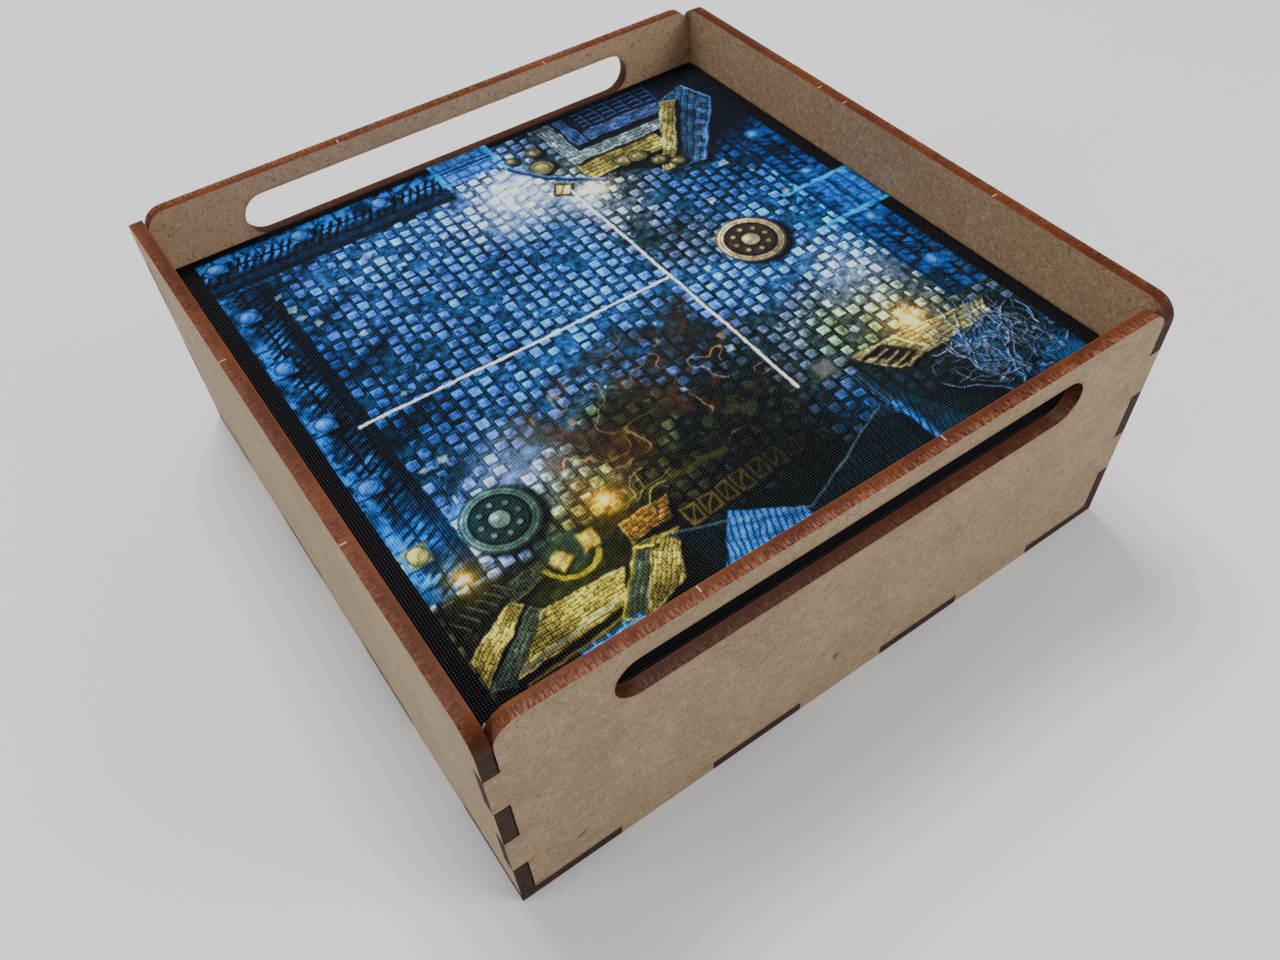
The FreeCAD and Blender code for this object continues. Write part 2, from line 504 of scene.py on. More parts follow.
class Print:
    """Colour at each point of a grid, and the shapes that are laid on it."""

    def __init__(self, x, y):
        self.true_x = x
        self.true_y = y
        self.x = x + WAVER * (cloudy(x, y, 3.5, 11, 3) - 0.5)
        self.y = y + WAVER * (cloudy(x, y, 3.5, 17, 3) - 0.5)
        self.rgb = np.zeros(x.shape + (3,), np.float32)

    def view(self, left, right, front, back):
        """The part inside a rectangle. What is painted on it shows on the whole."""
        columns = slice(*np.searchsorted(self.true_x[0], (left, right)))
        rows = slice(*np.searchsorted(self.true_y[:, 0], (front, back)))
        part = copy.copy(self)
        for name in ("true_x", "true_y", "x", "y", "rgb"):
            setattr(part, name, getattr(self, name)[rows, columns])
        return part

    def around(self, place, reach):
        return self.view(place[0] - reach, place[0] + reach, place[1] - reach, place[1] + reach)

    def exact(self):
        """The same print, with shapes drawn true and not wavering as if by hand."""
        part = copy.copy(self)
        part.x, part.y = self.true_x, self.true_y
        return part

    def lay(self, colour, mask):
        self.rgb += (np.asarray(colour, np.float32) - self.rgb) * mask[..., None]

    def shade(self, factor):
        self.rgb *= factor[..., None]

    def glow(self, colour, place, radius):
        part = self.around(place, 2.6 * radius)
        away = part.away(place) / radius
        part.rgb += np.asarray(colour, np.float32) * np.exp(-away * away)[..., None]

    def away(self, place, squash=1):
        return np.hypot(self.x - place[0], (self.y - place[1]) * squash)

    def turned(self, angle):
        """Distances along a direction and across it."""
        turn = math.radians(angle)
        along = self.x * math.cos(turn) + self.y * math.sin(turn)
        return along, self.y * math.cos(turn) - self.x * math.sin(turn)

    # masks, 1 inside a shape and 0 outside

    def cloud(self, cell, seed, octaves=4):
        return cloudy(self.x, self.y, cell, seed, octaves)

    def patchy(self, low, high, *noise):
        """Blotches: 0 where the noise is below low, 1 where it is above high."""
        return ramp(low, high, self.cloud(*noise))

    def block(self, left, right, front, back, soft=0.25):
        inside = np.minimum.reduce([self.x - left, right - self.x, self.y - front, back - self.y])
        return ramp(-soft, soft, inside)

    def disc(self, place, radius, soft=0.25, squash=1):
        return ramp(radius + soft, radius - soft, self.away(place, squash))

    def ring(self, place, radius, width):
        return ramp(width / 2 + 0.2, width / 2 - 0.2, np.abs(self.away(place) - radius))

    def patch(self, corners, soft=0.25):
        """A convex shape, its corners in order."""
        edges = list(zip(corners, corners[1:] + corners[:1]))
        turning = math.copysign(1, sum(ax * by - bx * ay for (ax, ay), (bx, by) in edges))
        inside = np.full(self.x.shape, 1e3)
        for (ax, ay), (bx, by) in edges:
            length = turning * math.hypot(bx - ax, by - ay)
            side = ((bx - ax) * (self.y - ay) - (by - ay) * (self.x - ax)) / length
            inside = np.minimum(inside, side)
        return ramp(-soft, soft, inside)

    def stroke(self, points, width, soft=0.2):
        nearest = np.full(self.x.shape, 1e3)
        for (ax, ay), (bx, by) in zip(points, points[1:]):
            dx, dy = bx - ax, by - ay
            along = np.clip(((self.x - ax) * dx + (self.y - ay) * dy) / (dx * dx + dy * dy), 0, 1)
            nearest = np.minimum(nearest, np.hypot(self.x - ax - along * dx, self.y - ay - along * dy))
        return ramp(width / 2 + soft, width / 2 - soft, nearest)

    def bars(self, angle, pitch, share):
        """Parallel bars running at an angle in degrees, each share of the pitch wide."""
        place = off_middle(self.turned(angle)[1] / pitch)
        return ramp(share + 0.22, share - 0.22, place)

    def bricks(self, angle, length, height):
        """Lines between bricks whose courses run at an angle."""
        along, up = self.turned(angle)
        up = up / height
        along = along / length + 0.5 * (np.floor(up) % 2)
        return np.maximum(ramp(0.62, 0.9, off_middle(up)), ramp(0.75, 0.95, off_middle(along)))


# Broad tones of the square, and where each lies.
NIGHT = (12, 44, 76)
NAVY = (28, 64, 96)
DUSK = (46, 86, 124)
MOONLIT = (60, 108, 158)
CLEAR = (72, 124, 182)
FROST = (100, 146, 198)
GLARE = (158, 176, 194)
CYAN = (48, 124, 186)
ASH = (100, 112, 120)
SLATE = (60, 84, 96)
MOSS = (100, 106, 86)
OCHRE = (118, 114, 72)
MUD = (68, 70, 52)
PITCH_DARK = (22, 32, 36)

TONES = {
    NAVY: ((-64, 64), (-42, 66), (48, 64), (68, 62), (-64, 48), (52, 24), (-66, 10), (-66, -8),
        (-50, -4), (26, -54), (40, -66), (66, -66)),
    DUSK: ((-18, 68), (-12, 32), (36, 28), (-50, 12), (-32, 12), (-52, -14), (-10, -68)),
    FROST: ((2, 68), (-4, 60), (-8, 48), (52, -14), (-46, -24), (-56, -30), (-56, -42)),
    SLATE: ((24, 64), (40, 46), (24, 12), (24, -26), (67, -28), (24, -38), (68, -42), (42, -54),
        (60, -56)),
    CLEAR: ((-46, 52), (-26, 50), (22, -8), (-64, -24)),
    GLARE: ((6, 50), (-66, -38)),
    ASH: ((22, 48), (22, 34), (-36, -32), (40, -26), (54, -28), (52, -40)),
    NIGHT: ((60, 42), (70, 30), (-64, 30)),
    MOONLIT: ((-50, 34), (-32, 30), (6, 34), (-12, 10), (6, 10), (50, 6), (-36, -14), (-18, -10),
        (4, -4), (36, -12), (0, -18)),
    CYAN: ((66, 14), (62, 3), (66, -14)),
    MUD: ((-16, -24), (-20, -38), (-24, -56)),
    PITCH_DARK: ((8, -24), (-4, -36), (10, -36), (-8, -58), (12, -54), (-40, -66), (14, -66)),
    MOSS: ((-34, -40), (36, -36), (-62, -54)),
    OCHRE: ((-42, -52),),
}


def broad_tones(p):
    """Night sky light over the square: each tone fades into the next."""
    weight = np.full(p.x.shape, 1e-6)
    for colour, places in TONES.items():
        for place in places:
            near = np.exp(-((p.x - place[0]) ** 2 + (p.y - place[1]) ** 2) / TONE_REACH ** 2)
            weight += near
            p.rgb += near[..., None] * np.array(colour, np.float32)
    p.shade(1 / weight)
    p.shade(0.72 + 0.6 * p.cloud(9, 3))


def cobbles(p):
    """Staggered square stones with dark outlines, few where the ground is worn."""
    x, y = p.true_x, p.true_y
    u = x / COLUMN + 0.1 * (cloudy(x, y, 9, 21, 2) - 0.5)
    column = np.floor(u).astype(np.int64)
    v = y / ROW + 0.5 * (column % 2) + 0.35 * lattice(column, column * 0, 5)
    v = v + 0.1 * (cloudy(x, y, 9, 23, 2) - 0.5)
    row = np.floor(v).astype(np.int64)
    across = (u - column - 0.5) * COLUMN + 0.4 * (lattice(column, row, 31) - 0.5)
    along = (v - row - 0.5) * ROW + 0.5 * (lattice(column, row, 33) - 0.5)
    half_width = 1.14 + 0.26 * (lattice(column, row, 35) - 0.5)
    half_length = 1.2 + 0.36 * (lattice(column, row, 37) - 0.5)
    rough = cloudy(x, y, 0.9, 41, 3) - 0.5
    rim = np.maximum(np.abs(across) - half_width, np.abs(along) - half_length) + 0.24 * rough
    worn = ramp(0.56, 0.72, cloudy(x, y, 7, 51))
    kept = ramp(0, 0.14, lattice(column, row, 39) - 0.05 - 0.55 * worn)
    stone = ramp(0.08, -0.1, rim) * kept
    slant = along / half_length - across / half_width
    light = 0.82 + 0.34 * lattice(column, row, 43) + 0.14 * slant + 1.05 * rough
    light = light + 0.3 * ramp(-0.5, -0.15, rim) * ramp(0.2, 0.9, slant)
    ground = 0.6 + 1.1 * (cloudy(x, y, 1.3, 53, 3) - 0.5) + 0.1 * worn
    outline = ramp(0.46, 0.14, rim) * kept * (0.5 + 0.45 * ramp(0.5, -0.6, slant))
    ground = ground.clip(0.2, 2) * (1 - 0.95 * outline)
    p.shade(ground + (1.24 * light.clip(0.3, 1.4) - ground) * stone)
    cold = ramp(0.15, 0.4, (p.rgb[..., 2] - p.rgb[..., 0]) / (p.rgb[..., 2] + 20))
    for tint, mask in ((COLD_STONE, stone * cold), (WARM_STONE, stone * (1 - cold))):
        p.rgb *= 1 + (np.array(tint, np.float32) - 1) * mask[..., None]


def long_shadows(p):
    """Soft shadows that the railings throw in over the cobbles."""
    for start in (58, 40, 21, -1, -19):
        part = p.view(-70, -38, start - 14, start + 12)
        mask = part.stroke([(-63, start - 6), (-54, start - 3), (-45, start + 3)], 2.5, 3.2)
        mask = mask * (0.5 + 0.8 * part.cloud(3, 61))
        part.lay((8, 18, 30), np.clip(mask, 0, 0.85))
    pools = (((-53, -3), 9), ((24, 11), 4.5), ((20, 45), 4), ((50, 34), 4.5), ((-25, 3), 6))
    for place, radius in pools:
        part = p.around(place, 1.6 * radius)
        mask = part.disc(place, radius * 0.5, radius * 0.6, 1.5)
        part.lay((10, 18, 26), mask * part.patchy(0.35, 0.65, 4, 63) * 0.7)


PUFFS = (
    ((4, 51), 8, 0.75),
    ((-2, 42), 7, 0.3),
    ((16, 40), 8, 0.48),
    ((-40, -25), 10, 0.28),
    ((50, -22), 8, 0.28),
    ((-64, -33), 5, 0.35),
)


def mist(p):
    """Pale haze and puddle glints."""
    for place, radius, amount in PUFFS:
        part = p.around(place, 2.4 * radius)
        away = part.away(place) / radius
        mask = np.exp(-away * away) * (0.35 + 1.1 * part.cloud(5, 71))
        part.lay((214, 228, 244), np.clip(mask * amount * 1.15, 0, 0.92))


def mud(p):
    """Dark trodden ground with pale curled edges of water, front of the middle."""
    p = p.view(-48, 24, -54, 4)
    field = p.cloud(9, 81)
    slope = -13 + 0.45 * (p.x + 38) * 0.55 - p.y
    area = ramp(-4, 6, slope) * ramp(-45, -34, p.x) * ramp(22, 12, p.x) * ramp(-50, -40, p.y)
    p.lay((34, 30, 22), area * ramp(0.40, 0.62, field) * 0.72)
    p.lay((66, 46, 30), area * p.patchy(0.5, 0.75, 6, 83) * 0.6)
    edge = ramp(0.022, 0.006, np.abs(p.cloud(6.5, 85, 2) - 0.52))
    p.lay((150, 128, 100), area * edge * p.patchy(0.35, 0.65, 8, 87) * 0.7)


def post(p, place, warm):
    """A post's shadow, its foot and its round cap, in lamp light if warm."""
    x, y = place
    foot, cap = ((140, 122, 56), (200, 176, 96)) if warm else ((66, 116, 180), (126, 170, 212))
    p.lay((5, 10, 18), p.disc((x + 1.4, y - 1.6), 2.9, 1) * 0.8)
    p.lay(foot, p.block(x - 2.4, x + 2.4, y - 2.4, y + 2.4, 0.35) * 0.85)
    p.lay(cap, p.disc((x - 0.5, y + 0.6), 1.2, 0.9) * 0.75)
    p.lay((20, 34, 52), p.ring(place, 2.1, 0.5) * 0.6)


def railings(p, along_back):
    """Paved strip, posts with round caps and leaning bars, along the left or the back."""
    if along_back:
        p = p.view(PRINT_LEFT - 1, -6, 55, PRINT_BACK + 1)
        near, far = 59, PRINT_BACK
        strip = p.block(PRINT_LEFT, -8, near, far)
        depth, run = p.y, p.x
    else:
        p = p.view(PRINT_LEFT - 1, -54, -48, 60)
        near, far = -58.5, PRINT_LEFT
        strip = p.block(PRINT_LEFT, near, -44, 58)
        depth, run = p.x, p.y
    p.lay((15, 34, 56), strip * 0.85)
    slabs = strip * p.patchy(0.3, 0.5, 2.2, 91) * ramp(0.35, 0.75, p.cloud(7, 93) + 0.15)
    away = np.abs(depth - far)
    paving = ramp(9, 6.5, away) * slabs
    joints = off_middle(run / 5.1)
    p.lay((68, 138, 210), paving * 0.88)
    p.lay((14, 28, 48), paving * ramp(0.8, 0.95, joints) * 0.8)
    p.lay((8, 18, 26), ramp(2.6, 1.4, np.abs(depth - near)) * strip * 0.65)
    lean = 62 if along_back else 28
    reach = strip * ramp(10.8, 9.8, away) * ramp(2.4, 3.4, away)
    p.lay((6, 10, 16), p.bars(lean, 1.9, 0.42) * reach * 0.94)
    p.lay((120, 165, 220), p.bars(lean, 1.9, 0.1) * reach * p.patchy(0.45, 0.7, 2.6, 95) * 0.55)
    rails = [ramp(0.45, 0.2, np.abs(away - line)) for line in (5.2, 9.4)]
    p.lay((8, 14, 24), np.maximum(*rails) * strip * 0.9)
    if along_back:
        for stop in (-66.5, -45.5, -24.5):
            post(p, (stop, far - 3.6), warm=False)
    else:
        for stop in (48.5, 28.2, 7.8, -12.6, -33):
            post(p, (far + 3.4, stop), warm=stop < -30)


def right_strip(p):
    """Dark paved strip down the right side."""
    p = p.view(58, PRINT_RIGHT + 1, -44, 48)
    strip = p.block(60.5, PRINT_RIGHT, -40, 44)
    p.lay((9, 40, 74), strip * 0.6)
    slabs = p.patchy(0.42, 0.62, 3, 101)
    p.lay((22, 92, 160), strip * slabs * 0.55)
    p.lay((6, 16, 30), strip * p.bricks(90, 5.4, 3.6) * 0.7)
    bars = p.bars(-32, 2.1, 0.22) * p.block(62.5, 69.5, -38, 40)
    p.lay((6, 12, 22), bars * 0.75)
    for stop in (36, 14.5, -8.5, -29):
        p.lay((60, 130, 190), p.block(64.6, 69, stop - 2.1, stop + 2.1, 0.5) * 0.55)
        p.lay((150, 190, 220), p.disc((66.4, stop + 0.6), 0.9, 0.9) * 0.6)


def gateway(p, area, ground, sides, step, angle, colour):
    """Paved way out of the square, across the black border."""
    p = p.view(*area)
    floor = p.block(*ground)
    rails = np.maximum(p.block(*sides[0]), p.block(*sides[1]))
    seed = 111 if angle == 0 else 113
    p.lay(colour, floor * (0.55 + 0.4 * p.cloud(3, seed)))
    p.lay((22, 44, 78), floor * p.bricks(angle, 3.3, 3) * 0.6)
    p.lay((14, 26, 44), p.block(*step) * 0.7)
    p.lay((40, 156, 216), rails * p.patchy(0.15, 0.5, 4, 115) * 0.9)


# area painted, floor, two side rails, step, angle of the courses, colour
GATEWAYS = (
    ((-12, 13, 56, 77), (-7.3, 8.2, 64.5, 76), ((-8.4, -6.9, 65, 76), (7.7, 9.2, 60, 76)),
     (-7, 8, 70, 70.9), 0, (84, 138, 208)),
    ((51, 77, -9, 15), (64, 76, -4.8, 10.6), ((55, 76, 10, 11.4), (55, 76, -5.4, -4)),
     (67.6, 68.5, -4.5, 10.2), 90, (62, 124, 190)),
)


def tiled(p, corners, angle, colour, course=1.5, length=2.2):
    """A roof slope or wall: courses of tiles with uneven light, a lit rim and a shadow."""
    inside = p.patch(corners)
    p.lay((6, 9, 14), p.patch(moved(corners, 1, -1.2), 0.9) * 0.75)
    along, up = p.turned(angle)
    up = up / course
    row = np.floor(up).astype(np.int64)
    along = along / length + 0.5 * (row % 2)
    column = np.floor(along).astype(np.int64)
    tone = 0.75 + 0.4 * lattice(column, row, 301)
    tone = tone * (0.72 + 0.4 * (up - row)) * (0.55 + 0.9 * p.cloud(4.5, 303))
    joint = np.maximum(ramp(0.22, 0.06, up - row), ramp(0.12, 0.04, along - column))
    tone = tone * (1 - 0.6 * joint)
    shaded = np.asarray(colour, np.float32) * tone[..., None]
    p.rgb += (shaded - p.rgb) * (inside * 0.96)[..., None]
    rim = p.stroke(corners + corners[:1], 0.35)
    p.lay(scaled(colour, 1.1, 60), rim * p.patchy(0.4, 0.6, 3, 305) * 0.6)


def beams(p, start, end, count, across, colour, width=0.7):
    """A row of parallel timbers between two points, each reaching across."""
    for step in range(count):
        share = step / (count - 1)
        foot = beside(start, (end[0] - start[0]) * share, (end[1] - start[1]) * share)
        timber = [foot, beside(foot, *across)]
        p.lay((8, 10, 12), p.stroke(moved(timber, 0.5, -0.5), width + 0.4) * 0.7)
        p.lay(colour, p.stroke(timber, width) * 0.85)
        p.lay(scaled(colour, 1.5), p.stroke(moved(timber, -0.15, 0.15), width * 0.25) * 0.7)


def barrels(p, places):
    """Casks seen from above: hoops and a few staves."""
    for place, radius in places:
        part = p.around(place, radius + 2.5)
        part.lay((10, 12, 14), part.disc(beside(place, 0.6, -0.9), radius + 0.5) * 0.8)
        staves = 0.7 + 0.5 * value_noise(part.x, part.y * 0, 0.55, 307)
        part.lay((120, 116, 88), part.disc(place, radius, 0.4) * 0.9)
        part.shade((1 + part.disc(place, radius) * (staves - 1)).astype(np.float32))
        part.lay((196, 192, 160), part.disc(beside(place, -0.6, 0.7), radius * 0.3, 0.7) * 0.6)
        part.lay((44, 42, 34), part.ring(place, radius * 0.7, 0.35) * 0.7)
        part.lay((34, 34, 30), part.ring(place, radius, 0.4) * 0.7)


def far_house(p):
    """Roof, lamp-lit wall and a slanted wing in the far right corner."""
    p = p.view(18, PRINT_RIGHT + 1, 32, PRINT_BACK + 1)
    ground = [(22, 48), (44, 36), (PRINT_RIGHT, 44), (PRINT_RIGHT, PRINT_BACK), (22, PRINT_BACK)]
    p.lay((14, 20, 30), p.patch(ground, 0.8) * 0.92)
    tiled(p, rect(22.5, 47, 45.5, 56), 0, (138, 132, 84), 1.4, 2.4)
    tiled(p, rect(22.3, 26.6, 53, 73), 90, (118, 132, 138), 1.1, 3.1)
    tiled(p, rect(22.3, 58, 53.2, 57.4), 0, (118, 130, 132), 1.1, 3.1)
    p.lay((20, 28, 44), p.block(27.2, 60, 58.2, PRINT_BACK) * 0.9)
    tiled(p, rect(28.4, 61, 60, 64.6), 0, (74, 94, 132), 1, 2.6)
    tiled(p, rect(27.8, 31, 60, 73), 90, (64, 84, 120), 1, 2.6)
    beams(p, (34, 66.4), (34, 72.6), 4, (24, 0), (58, 72, 112), 0.55)
    beams(p, (36, 65.6), (57, 65.6), 6, (0, 7.4), (48, 62, 98), 0.45)
    tiled(p, [(38.5, 36), (50.5, 34.5), (69, 57), (66, 67), (57, 64)], 52, (58, 82, 110), 1.9, 2.8)
    tiled(p, [(39, 37), (42.5, 36.6), (60.5, 62), (57, 64)], 52, (134, 130, 86), 1.2, 2)
    p.lay((14, 18, 26), p.stroke([(43.5, 36.5), (61, 61.5)], 0.7))
    p.lay((112, 152, 206), p.stroke([(50, 35), (68.8, 57.2), (66, 67)], 0.5) * 0.7)
    for step in range(5):
        slate = [(0, 0), (1.6, 0.2), (1.2, 2.6), (-0.5, 1.6)]
        slate = moved(slate, 52.5 + 3.3 * step, 39.5 + 4.2 * step)
        p.lay((92, 128, 176), p.patch(slate) * 0.6)
    p.lay((6, 20, 40), p.patch([(50.5, 34.5), (70.5, 40), (70.5, 56), (69, 57)], 0.8) * 0.6)
    barrels(p, (((33.5, 47), 2.3), ((37.5, 46.5), 2.4), ((41, 42), 2), ((44.5, 38.5), 1.7)))


def cart(p):
    """An overturned hand cart in the lamp light, with its shafts."""
    p = p.view(-6, 30, 32, 68)
    barrels(p, (((15.5, 57.5), 3), ((17, 64), 1.9), ((10.5, 64.5), 1.5)))
    p.lay((36, 50, 84), p.stroke([(8.5, 61.5), (14, 52.5), (25, 43)], 1.7))
    p.lay((112, 148, 204), p.stroke([(8.8, 61.9), (14.5, 52.9), (25.2, 43.6)], 0.35))
    p.lay((64, 60, 52), p.patch([(11.2, 45.2), (15.4, 42), (18.6, 46.6), (14.2, 49.4)]))
    p.lay((190, 178, 140), p.patch([(12.2, 45.4), (15, 43.3), (17.2, 46.4), (14.2, 48.3)]) * 0.85)
    p.lay((92, 74, 46), p.stroke([(13.2, 44.5), (15.9, 47.5)], 0.5))
    for place in ((2, 56), (5.5, 60), (9, 55.5)):
        p.lay((226, 228, 226), p.disc(place, 1.9, 1.6) * 0.55)
        fold = moved([(-2, -2), (2.4, -0.6)], *place)
        p.lay((70, 86, 112), p.stroke(fold, 0.6, 0.4) * 0.7)
    p.glow((120, 96, 58), (22, 42), 3.5)


def medallion(p, place, radius, rim, field, boss):
    """Raised ring round a sunk field with a plain domed boss and studs."""
    p = p.exact().around(place, radius + 4)
    p.lay((6, 10, 14), p.disc(beside(place, 0.9, -1), radius + 0.6, 0.9) * 0.85)
    whole = p.disc(place, radius)
    p.lay(rim, whole)
    lit = (p.x - place[0]) * -0.6 + (p.y - place[1]) * 0.8
    grain = 0.72 + 0.6 * p.cloud(0.9, 131, 3)
    p.shade(1 + whole * (grain * (1 + 0.03 * lit) - 1))
    p.lay((22, 20, 18), p.ring(place, radius - 0.25, 0.4) * 0.7)
    p.lay(scaled(rim, 0.55), p.ring(place, radius - 1.2, 0.35) * 0.8)
    p.lay(field, p.disc(place, radius * 0.72))
    p.lay((10, 10, 10), p.ring(place, radius * 0.73, 0.7) * 0.8)
    p.lay(boss, p.disc(place, radius * 0.26, 0.3) * 0.9)
    p.lay(scaled(boss, 1.4), p.disc(beside(place, -0.6, 0.8), radius * 0.1, 0.6) * 0.9)
    p.lay((10, 10, 10), p.ring(place, radius * 0.3, 0.35) * 0.7)
    for stud in polygon(place, 0, [0.5 * radius] * 8):
        p.lay(scaled(field, 0.45), p.disc(beside(stud, 0.2, -0.25), radius * 0.1, 0.3) * 0.9)
        p.lay(boss, p.disc(stud, radius * 0.075, 0.25) * 0.9)


def front_left(p):
    """The part that the two lamps light."""
    return p.view(PRINT_LEFT - 1, 12, PRINT_FRONT - 1, -40)


def lamp_lit_walls(p):
    """Walls and gables along the front left, lit yellow by two lamps."""
    p = front_left(p)
    p.lay((20, 22, 18), p.block(PRINT_LEFT, -22, PRINT_FRONT, -45, 1.2) * 0.88)
    yellow, dim = (144, 136, 84), (72, 82, 74)
    tiled(p, [(-58, -48), (-49.5, -46.6), (-49.5, -50.5), (-58, -52)], 8, dim, 0.9, 1.8)
    beams(p, (-69, -49.5), (-59, -46.5), 6, (2.4, -3), dim, 0.5)
    tiled(p, [(-69.8, -58), (-58.8, -51.4), (-56.6, -53.4), (-69.8, -64)], 36, yellow, 0.85, 3)
    tiled(p, [(-69.8, -64.8), (-56, -54.4), (-54.6, -56), (-66, -66.6)], 36, dim, 0.8, 2.6)
    tiled(p, [(-65, -65.5), (-54.5, -56.2), (-38, -57), (-42.5, -64.5)], 2, yellow, 0.85, 3)
    p.lay((116, 126, 122), p.stroke([(-63, -64.6), (-52, -63.4), (-43, -62.6)], 0.8) * 0.75)
    p.lay((10, 12, 14), p.stroke([(-64.5, -66.2), (-42.5, -64.6)], 1) * 0.9)
    p.lay((150, 132, 70), p.stroke([(-64, -67.5), (-43.5, -66)], 0.6) * 0.7)
    tiled(p, [(-44.5, -66.5), (-34, -54.5), (-31, -54.9), (-41, -69)], 50, dim, 1, 2)
    tiled(p, [(-40.5, -68.6), (-31, -55), (-25.4, -55.8), (-30.5, -66)], 50, yellow, 0.85, 3)
    beams(p, (-44.2, -67), (-34.2, -54.8), 2, (3, -1.6), (150, 138, 62), 0.6)
    p.lay((160, 150, 70), p.stroke([(-44.6, -66.6), (-34, -54.4), (-25.2, -55.6)], 0.5) * 0.7)
    light = np.zeros(p.x.shape)
    for place, reach in (((-46, -59), 7.5), ((-63.5, -56.5), 5), ((-31, -57.5), 5.5)):
        away = p.away(place) / reach
        light = np.maximum(light, np.exp(-away * away))
    p.shade(0.74 + 0.56 * light)


def stone_seat(p):
    """Curved seat with two square blocks of stone by it."""
    p = front_left(p)
    p.lay((52, 74, 70), p.disc((-44.5, -48), 4.6, 1) * 0.55)
    front_half = p.block(-52, -37, -56, -49.2)
    p.lay((124, 118, 56), p.ring((-44.5, -48.6), 5.6, 1.1) * front_half * 0.9)
    p.lay((30, 30, 18), p.ring((-44.5, -48.6), 6.4, 0.4) * front_half * 0.8)
    for place, lean in (((-46.4, -49.2), 0.5), ((-40, -48.4), -0.15)):
        corners = polygon(place, lean + math.tau / 8, [2.5] * 4, 1.16)
        p.lay((12, 14, 12), p.patch(moved(corners, 0.6, -0.7), 0.5) * 0.7)
        p.lay((158, 142, 82), p.patch(corners, 0.5) * (0.6 + 0.5 * p.cloud(2, 145)))
        p.lay((210, 196, 132), p.disc(beside(place, -0.5, 0.8), 0.7, 1) * 0.5)


def crates(p):
    """Low wall, a row of braced crates and bare stems over them."""
    p = front_left(p)
    p.lay((84, 82, 42), p.block(-34, -6, -46.4, -44.8, 0.5) * 0.55)
    tiled(p, [(-34, -53.6), (-33.4, -48.6), (-22.6, -48.2), (-24.2, -53.4)], 3, (124, 102, 58), 1.2, 1.6)
    for step in range(7):
        left = -22.8 + 4.2 * step
        low = -57.4 + 0.35 * step
        fade = 0.85 - 0.1 * step
        p.lay((8, 9, 9), p.block(left - 0.3, left + 4.1, low - 1.2, low + 5.2, 0.5) * 0.6)
        p.lay((100, 90, 54), p.block(left, left + 3.6, low, low + 4.8) * fade)
        p.lay((18, 17, 13), p.block(left + 0.6, left + 3, low + 0.6, low + 4.2) * 0.85)
        p.lay((104, 94, 58), p.stroke([(left + 0.6, low + 0.6), (left + 3, low + 4.2)], 0.4) * fade)
    branches(p, random.Random(3), 6, (-28, -49), (8, 4), (150, 146, 110))


def branches(p, chance, stems, corner, spread, colour):
    """Bare twisting stems that start inside a rectangle."""
    for _ in range(stems):
        points = [beside(corner, spread[0] * chance.random(), spread[1] * chance.random())]
        heading = math.radians(60 + 90 * chance.random())
        for _ in range(6):
            heading += math.radians(80) * (chance.random() - 0.5)
            reach = 0.9 + 1.6 * chance.random()
            points.append(beside(points[-1], reach * math.cos(heading), reach * math.sin(heading)))
        tone = 0.5 + 0.5 * chance.random()
        width = 0.1 + 0.18 * chance.random()
        part = p.around(points[3], 11)
        part.lay((6, 8, 10), part.stroke(moved(points, 0.3, -0.35), width + 0.2, 0.22) * 0.5)
        part.lay(scaled(colour, tone), part.stroke(points, width, 0.2) * 0.8)


def front_roofs(p):
    """Slate roofs along the front, two of their slopes in blue light."""
    p = p.view(-60, 52, PRINT_FRONT - 1, -32)
    p.lay((12, 18, 22), p.block(-24, 50, PRINT_FRONT, -58.5, 1) * 0.85)
    slopes = [
        ([(-27.5, -56), (-11.5, -62), (-2, -66.5), (-2, -70), (-24, -70)], 96, (22, 32, 42)),
        ([(-2, -66.5), (25.5, -55), (25, -70), (-2, -70)], 84, (24, 36, 46)),
        ([(-15.5, -58.5), (-3.5, -65.5), (-3, -70), (-25, -70)], 66, (84, 146, 214)),
        ([(32, -54), (47, -70), (37, -70)], 50, (40, 66, 88)),
        ([(27.6, -53), (31.6, -54), (38, -70), (28.4, -70)], 66, (72, 140, 216)),
        ([(26, -46), (29.5, -47), (30.5, -56), (27.5, -56)], 90, (52, 72, 92)),
    ]
    for corners, angle, colour in slopes:
        mask = p.patch(corners)
        p.lay(colour, mask * (0.55 + 0.5 * p.cloud(3, 151)))
        p.lay(scaled(colour, 0.2), mask * p.bars(angle, 1.25, 0.3) * 0.8)
        p.lay(scaled(colour, 0.3), mask * p.bars(angle - 90, 3.6, 0.1) * 0.6)
    p.lay((104, 120, 134), p.stroke([(-27.5, -55.8), (-2, -66.5), (25.5, -55.2)], 0.45) * 0.6)
    p.lay((74, 140, 220), p.block(-54, -41, PRINT_FRONT, -66.8, 0.4) * p.bricks(0, 3, 2).clip(0.3, 1))
    for place in ((3, -39), (9.5, -44.5), (-7, -38.5)):
        leaves = p.patchy(0.4, 0.6, 1.6, 153, 3)
        p.lay((12, 18, 16), p.disc(place, 4.8, 1.2) * 0.75)
        p.lay((66, 72, 50), p.disc(place, 3.9, 1) * leaves * 0.6)


